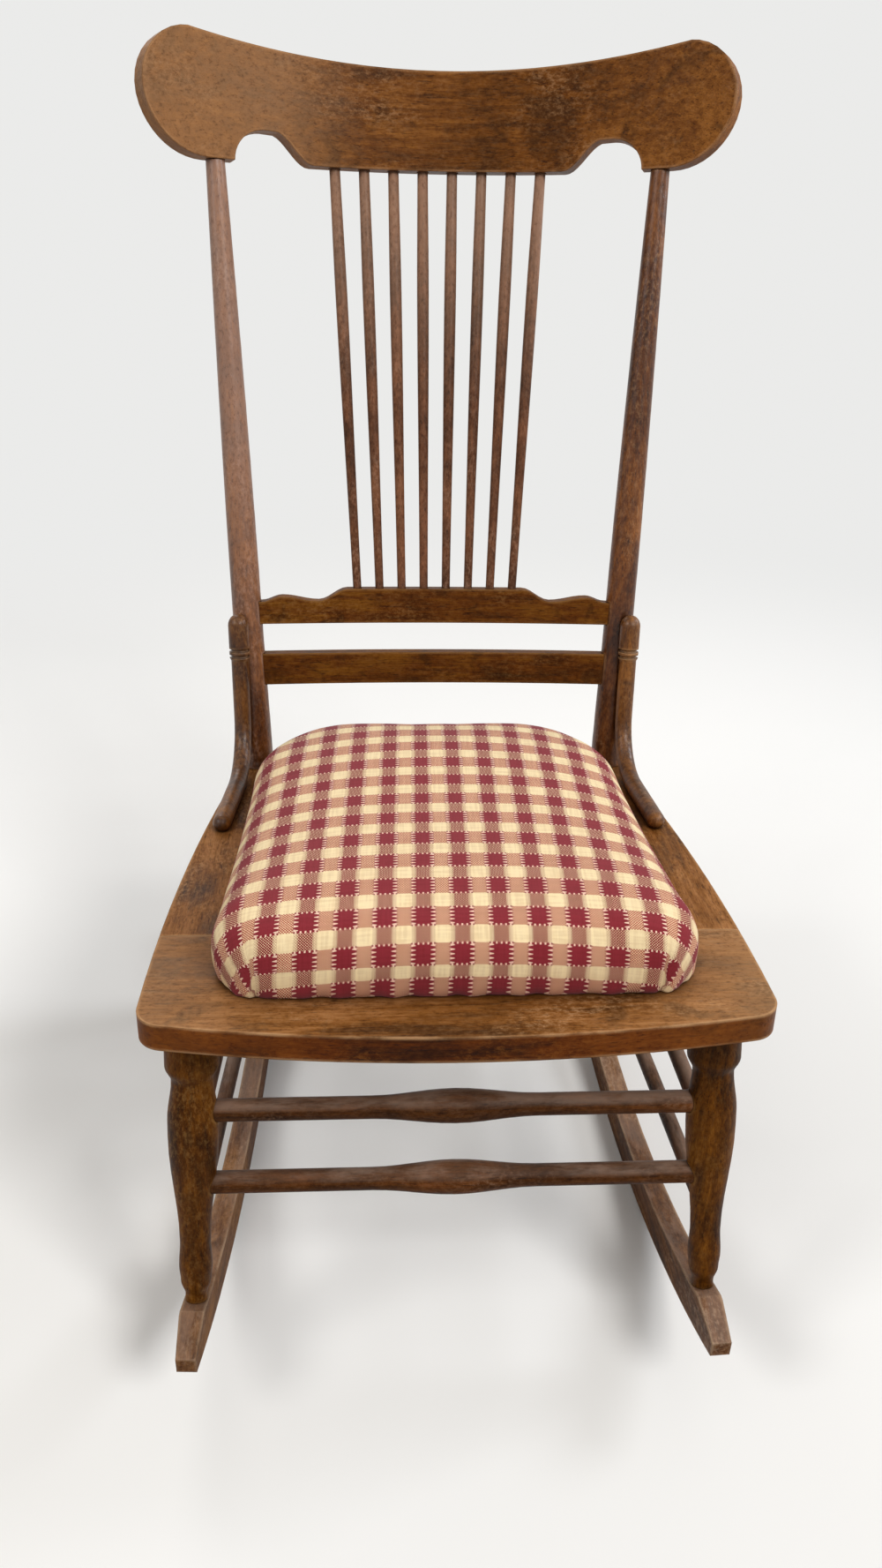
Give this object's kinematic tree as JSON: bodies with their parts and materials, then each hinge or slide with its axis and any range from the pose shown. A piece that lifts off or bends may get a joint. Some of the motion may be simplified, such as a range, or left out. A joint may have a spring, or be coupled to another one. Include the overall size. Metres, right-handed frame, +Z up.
{
  "type": "rocking chair",
  "caption": "Armless spindle-back rocking chair with a bent yoke crest, turned posts and legs, bent hip braces, curved runners and a padded check slip seat.",
  "frame": {"origin": "on the floor, midway between the runners' noses and tails and between the two sides", "axes": "+Z up, +Y to the chair's back, +X to the right as seen from in front of the chair"},
  "size_m": [0.5312, 0.691, 0.9974],
  "materials": {
    "dark_wood": "satin",
    "red_wood": "satin",
    "golden_wood": "satin",
    "plywood": "matte",
    "check_cloth": "matte",
    "steel": "satin"
  },
  "bodies": {
    "root": {"rocker_left": "dark_wood", "rocker_right": "dark_wood", "front_leg_left": "dark_wood", "front_leg_right": "dark_wood", "back_post_left": "dark_wood", "back_post_right": "dark_wood", "seat_front_rail": "golden_wood", "seat_side_rail_left": "golden_wood", "seat_side_rail_right": "golden_wood", "seat_back_rail": "golden_wood", "seat_board": "plywood", "seat_cushion": "check_cloth", "front_stretcher_upper": "red_wood", "front_stretcher_lower": "red_wood", "side_stretcher_upper_left": "red_wood", "side_stretcher_upper_right": "red_wood", "side_stretcher_lower_left": "red_wood", "side_stretcher_lower_right": "red_wood", "rear_stretcher": "red_wood", "hip_brace_left": "dark_wood", "hip_brace_right": "dark_wood", "waist_rail": "golden_wood", "lower_back_rail": "golden_wood", "crest_rail": "golden_wood", "crest_pins": "steel", "brace_screws": "steel", "seat_screws": "steel", "board_screws": "steel", "spindle_1": "red_wood", "spindle_2": "red_wood", "spindle_3": "red_wood", "spindle_4": "red_wood", "spindle_5": "red_wood", "spindle_6": "red_wood", "spindle_7": "red_wood", "spindle_8": "red_wood"}
  },
  "joints": []
}
